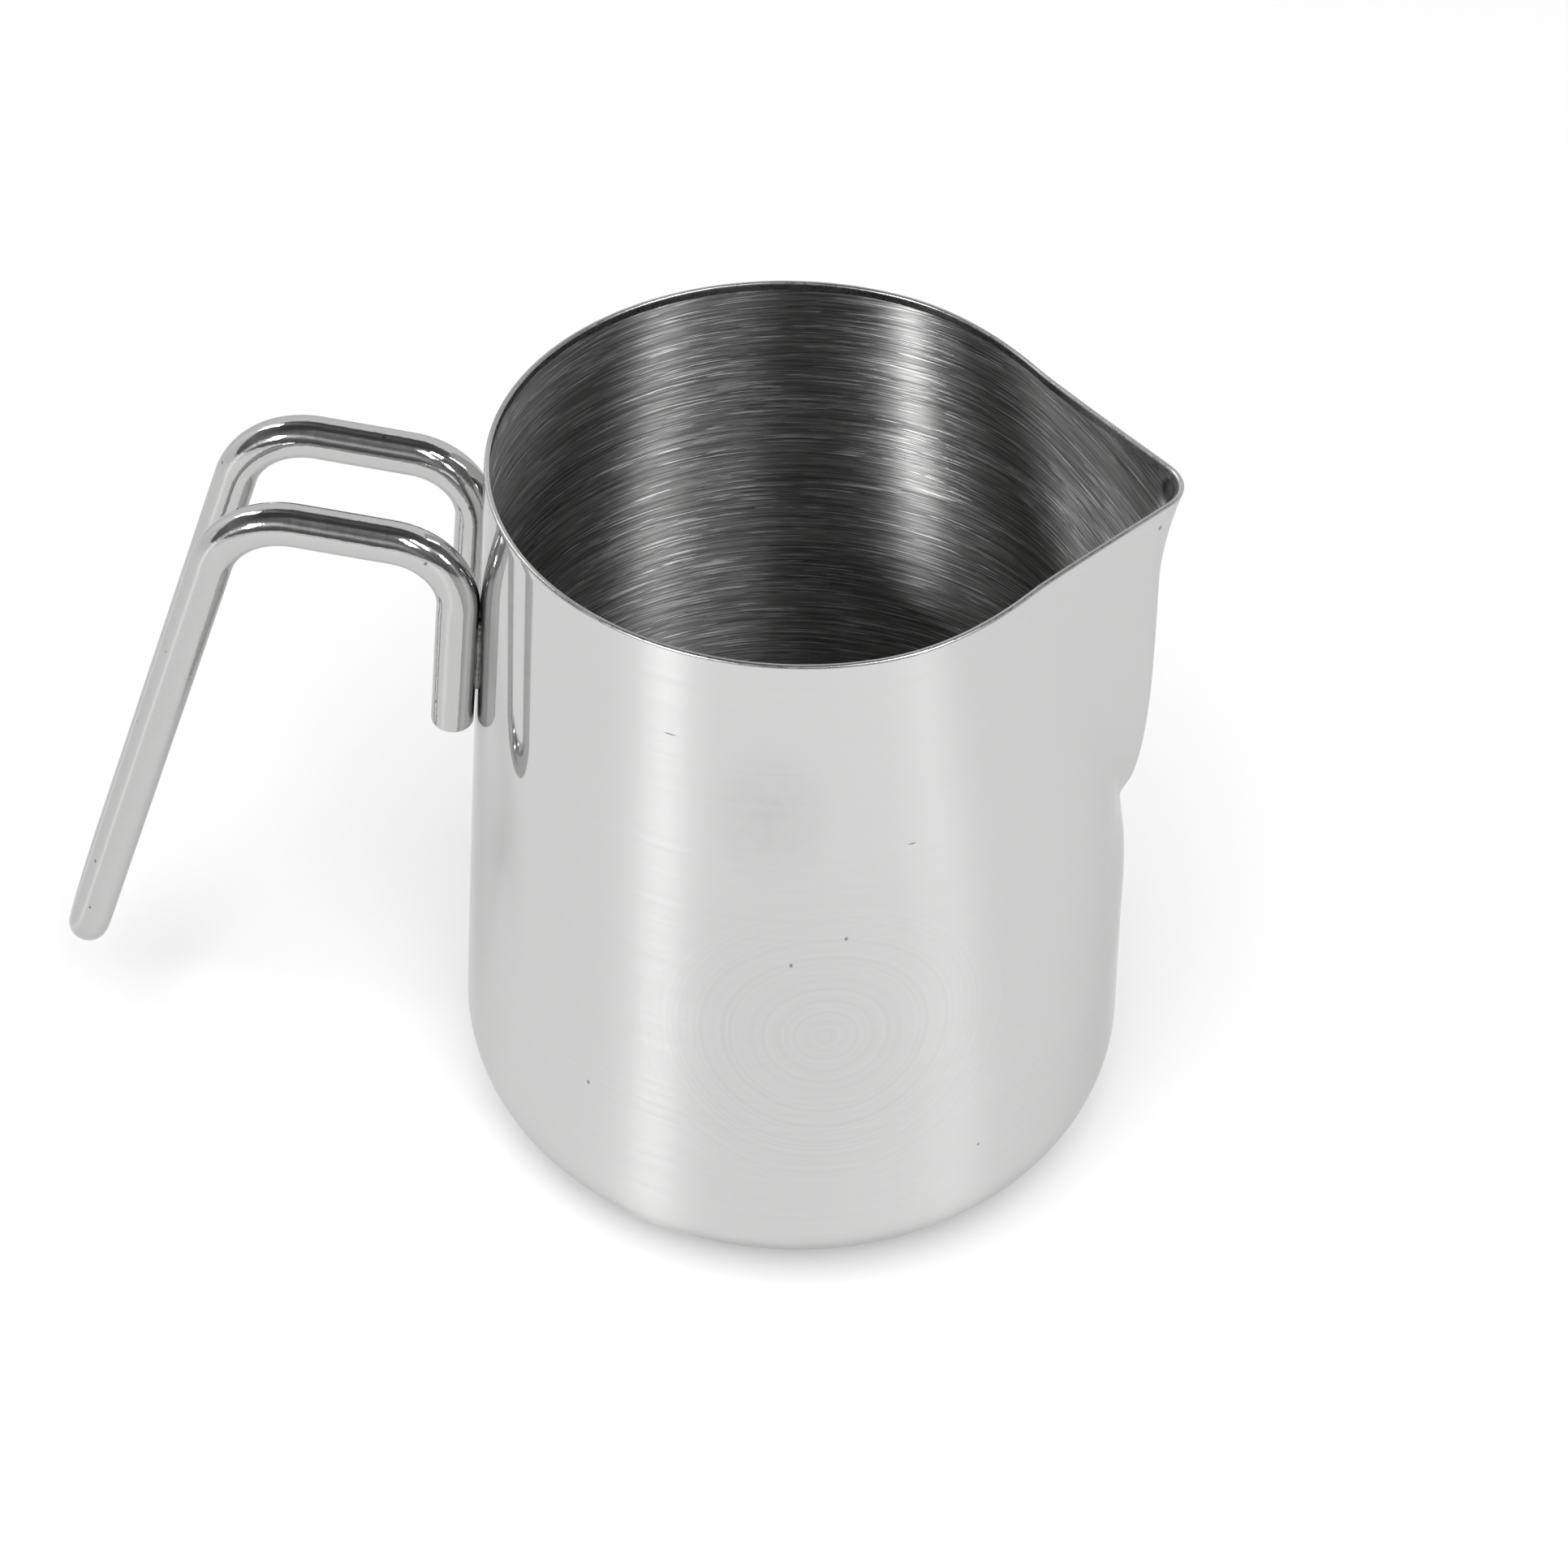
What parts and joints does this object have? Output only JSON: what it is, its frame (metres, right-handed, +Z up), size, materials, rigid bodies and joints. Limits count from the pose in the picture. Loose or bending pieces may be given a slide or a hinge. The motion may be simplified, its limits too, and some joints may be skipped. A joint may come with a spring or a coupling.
{
  "type": "milk frothing pitcher",
  "caption": "Small steel jug for frothing and pouring milk: one drawn tapered vessel with rounded base and pressed V spout, and a looped handle bent from round rod",
  "frame": {"origin": "centre of the base, on the plane that the pitcher stands on", "axes": "+Z up, +X towards the spout, handle towards -X, the same on both sides of the XZ plane"},
  "size_m": [0.1608, 0.0998, 0.1144],
  "materials": {
    "vessel": "mirror polished outside, brushed round the axis inside",
    "rod": "polished round rod",
    "weld": "dull, slightly tinted by heat"
  },
  "bodies": {
    "root": {"vessel": "vessel", "handle": "rod", "weld_near": "weld", "weld_far": "weld"}
  },
  "joints": []
}
